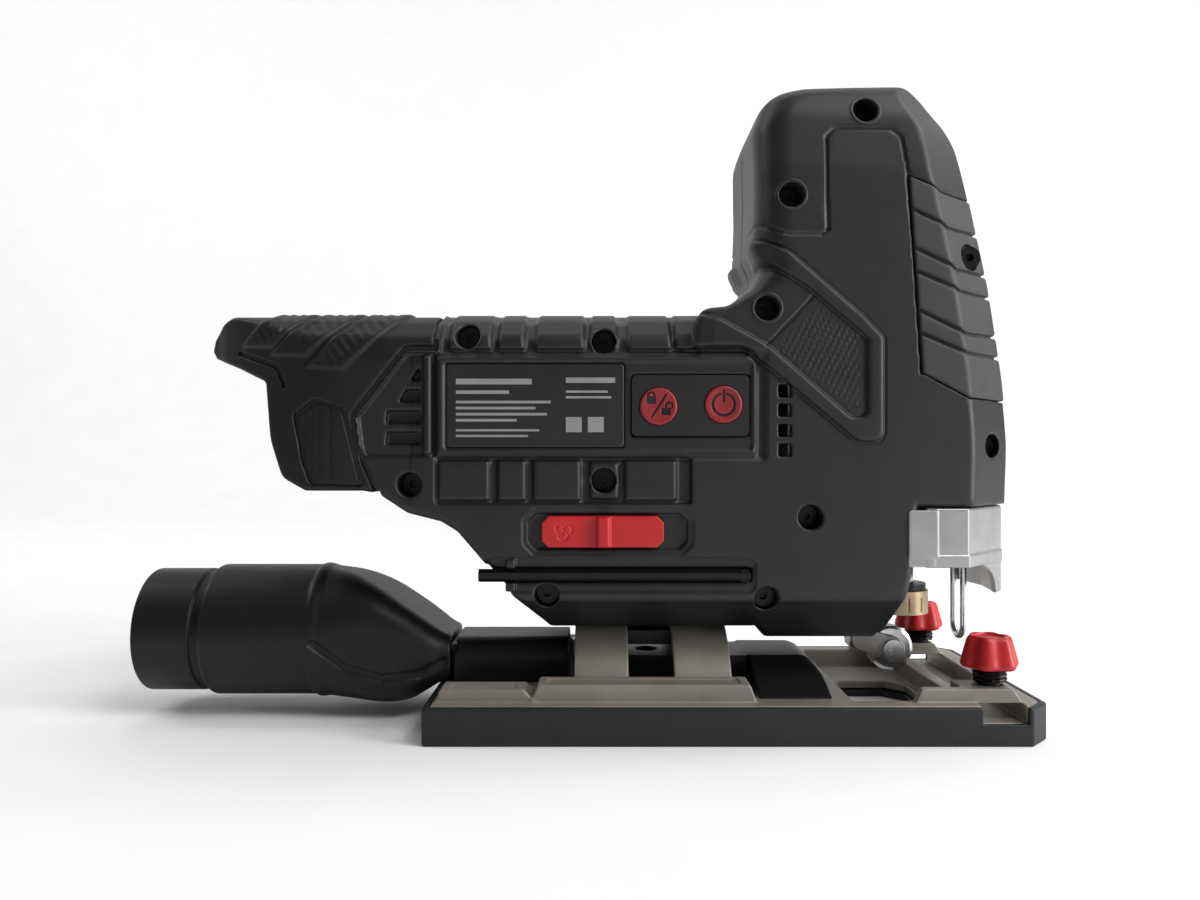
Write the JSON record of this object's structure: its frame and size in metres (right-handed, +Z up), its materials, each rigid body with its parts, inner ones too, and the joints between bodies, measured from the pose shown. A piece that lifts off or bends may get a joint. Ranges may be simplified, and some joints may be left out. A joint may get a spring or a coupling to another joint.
{
  "type": "jigsaw",
  "caption": "Barrel-grip power jigsaw with a tilting foot, geared plunger drive, guide roller, tool-less blade clamp and pull-off dust nozzle.",
  "frame": {"origin": "on the centre plane at the underside of the sole, below the middle of the barrel", "axes": "+X forward to the blade, +Y to the tool's left, +Z up from the sole"},
  "size_m": [0.2455, 0.075, 0.1755],
  "materials": {
    "shell_black": "fine-grained moulded plastic, black",
    "grip_rubber": "soft overmoulded grip, dark grey",
    "nozzle_black": "satin black moulded plastic",
    "shoe_black": "black nylon sole shoe",
    "casting_grey": "warm grey painted die casting",
    "casting_silver": "shot-blasted die casting",
    "red_plastic": "red moulded plastic",
    "steel_dark": "black-oxide steel",
    "steel_bright": "ground steel",
    "sintered": "sintered steel",
    "clamp_tan": "tan anodised clamp collar",
    "bronze": "sintered bronze bush",
    "contact_brass": "plated contact strip",
    "copper": "copper commutator",
    "lamination": "varnished laminations and windings",
    "board_green": "coated circuit board",
    "inner_plastic": "unfinished internal moulding",
    "label_film": "printed label film",
    "panel_black": "satin black panel film"
  },
  "bodies": {
    "foot": {"base_plate": "casting_grey", "sole_shoe": "shoe_black", "dust_duct": "nozzle_black", "knob_spring_right": "steel_dark", "knob_spring_left": "steel_dark"},
    "housing": {"housing_right": "shell_black", "housing_left": "shell_black", "housing_screws": "steel_dark", "tail_grip": "grip_rubber", "front_grip": "grip_rubber", "label_plate": "label_film", "switch_panel": "panel_black", "control_board": "board_green", "nose_cover": "casting_silver", "finger_guard": "steel_bright", "motor_can": "sintered", "motor_end_plate": "inner_plastic", "motor_bearings": "steel_bright", "gear_case": "casting_silver", "gear_axle": "steel_bright", "lower_guide": "bronze", "upper_guide": "bronze", "terminal_block": "inner_plastic", "terminal_contacts": "contact_brass", "bevel_clamp": "sintered", "bevel_screw": "steel_dark", "fork_pivot": "steel_bright"},
    "nozzle": {"dust_nozzle": "nozzle_black"},
    "right_knob": {"knob_right": "red_plastic", "knob_screw_right": "steel_dark"},
    "left_knob": {"knob_left": "red_plastic", "knob_screw_left": "steel_dark"},
    "rotor": {"armature": "lamination", "commutator": "copper", "motor_shaft": "steel_bright", "cooling_fan": "inner_plastic", "pinion": "sintered"},
    "gear": {"drive_gear": "sintered", "crank_pin": "steel_bright"},
    "plunger": {"plunger_rod": "steel_bright", "yoke_plate": "sintered", "blade_clamp": "sintered", "clamp_washers": "steel_dark", "clamp_spring": "steel_dark"},
    "collar": {"clamp_collar": "clamp_tan"},
    "fork": {"roller_fork": "sintered", "roller_pin": "steel_bright"},
    "roller": {"guide_roller": "steel_bright"},
    "pendulum": {"pendulum_lever": "red_plastic"},
    "power": {"power_button": "red_plastic"},
    "lock": {"lock_button": "red_plastic"},
    "blower": {"blower_slider": "red_plastic"},
    "key": {"hex_key": "steel_dark"}
  },
  "joints": [
    {"name": "bevel_tilt", "type": "hinge", "parent": "foot", "child": "housing", "pos_m": [0.0135, 0, 0], "axis": [1, 0, 0], "range_deg": [-30, 30]},
    {"name": "nozzle_pull", "type": "slide", "parent": "foot", "child": "nozzle", "axis": [-1, 0, 0], "range_m": [0, 0.03]},
    {"name": "right_knob_turn", "type": "hinge", "parent": "foot", "child": "right_knob", "pos_m": [0.103, -0.027, 0.02], "axis": [0, 0, 1], "range_deg": [0, 540]},
    {"name": "left_knob_turn", "type": "hinge", "parent": "foot", "child": "left_knob", "pos_m": [0.103, 0.027, 0.02], "axis": [0, 0, 1], "range_deg": [0, 540]},
    {"name": "gear_spin", "type": "hinge", "parent": "housing", "child": "gear", "pos_m": [0.061, 0, 0.1096], "axis": [1, 0, 0], "continuous": true},
    {"name": "motor_spin", "type": "hinge", "parent": "housing", "child": "rotor", "pos_m": [0, 0, 0.0856], "axis": [1, 0, 0], "continuous": true},
    {"name": "plunger_stroke", "type": "slide", "parent": "housing", "child": "plunger", "axis": [0, 0, 1], "range_m": [-0.002, 0.018]},
    {"name": "clamp_twist", "type": "hinge", "parent": "plunger", "child": "collar", "pos_m": [0.088, 0, 0.031], "axis": [0, 0, 1], "range_deg": [0, 60], "stiffness_Nm_per_rad": 0.02},
    {"name": "fork_swing", "type": "hinge", "parent": "housing", "child": "fork", "pos_m": [0.076, 0, 0.04], "axis": [0, -1, 0], "range_deg": [0, 3]},
    {"name": "roller_spin", "type": "hinge", "parent": "fork", "child": "roller", "pos_m": [0.0847, 0, 0.0176], "axis": [0, 1, 0], "continuous": true},
    {"name": "pendulum_select", "type": "hinge", "parent": "housing", "child": "pendulum", "pos_m": [0.06, 0.03, 0.043], "axis": [0, 1, 0], "range_deg": [0, 90]},
    {"name": "power_press", "type": "slide", "parent": "housing", "child": "power", "axis": [0, 1, 0], "range_m": [0, 0.0012], "stiffness_N_per_m": 800, "springref_m": -0.0003},
    {"name": "lock_press", "type": "slide", "parent": "housing", "child": "lock", "axis": [0, 1, 0], "range_m": [0, 0.0012], "stiffness_N_per_m": 800, "springref_m": -0.0003},
    {"name": "blower_slide", "type": "slide", "parent": "housing", "child": "blower", "axis": [1, 0, 0], "range_m": [-0.003, 0.006]},
    {"name": "key_pull", "type": "slide", "parent": "housing", "child": "key", "axis": [0, -1, 0], "range_m": [0, 0.018]}
  ],
  "couplings": [
    {"joint": "motor_spin", "follows": "gear_spin", "ratio": -5}
  ]
}
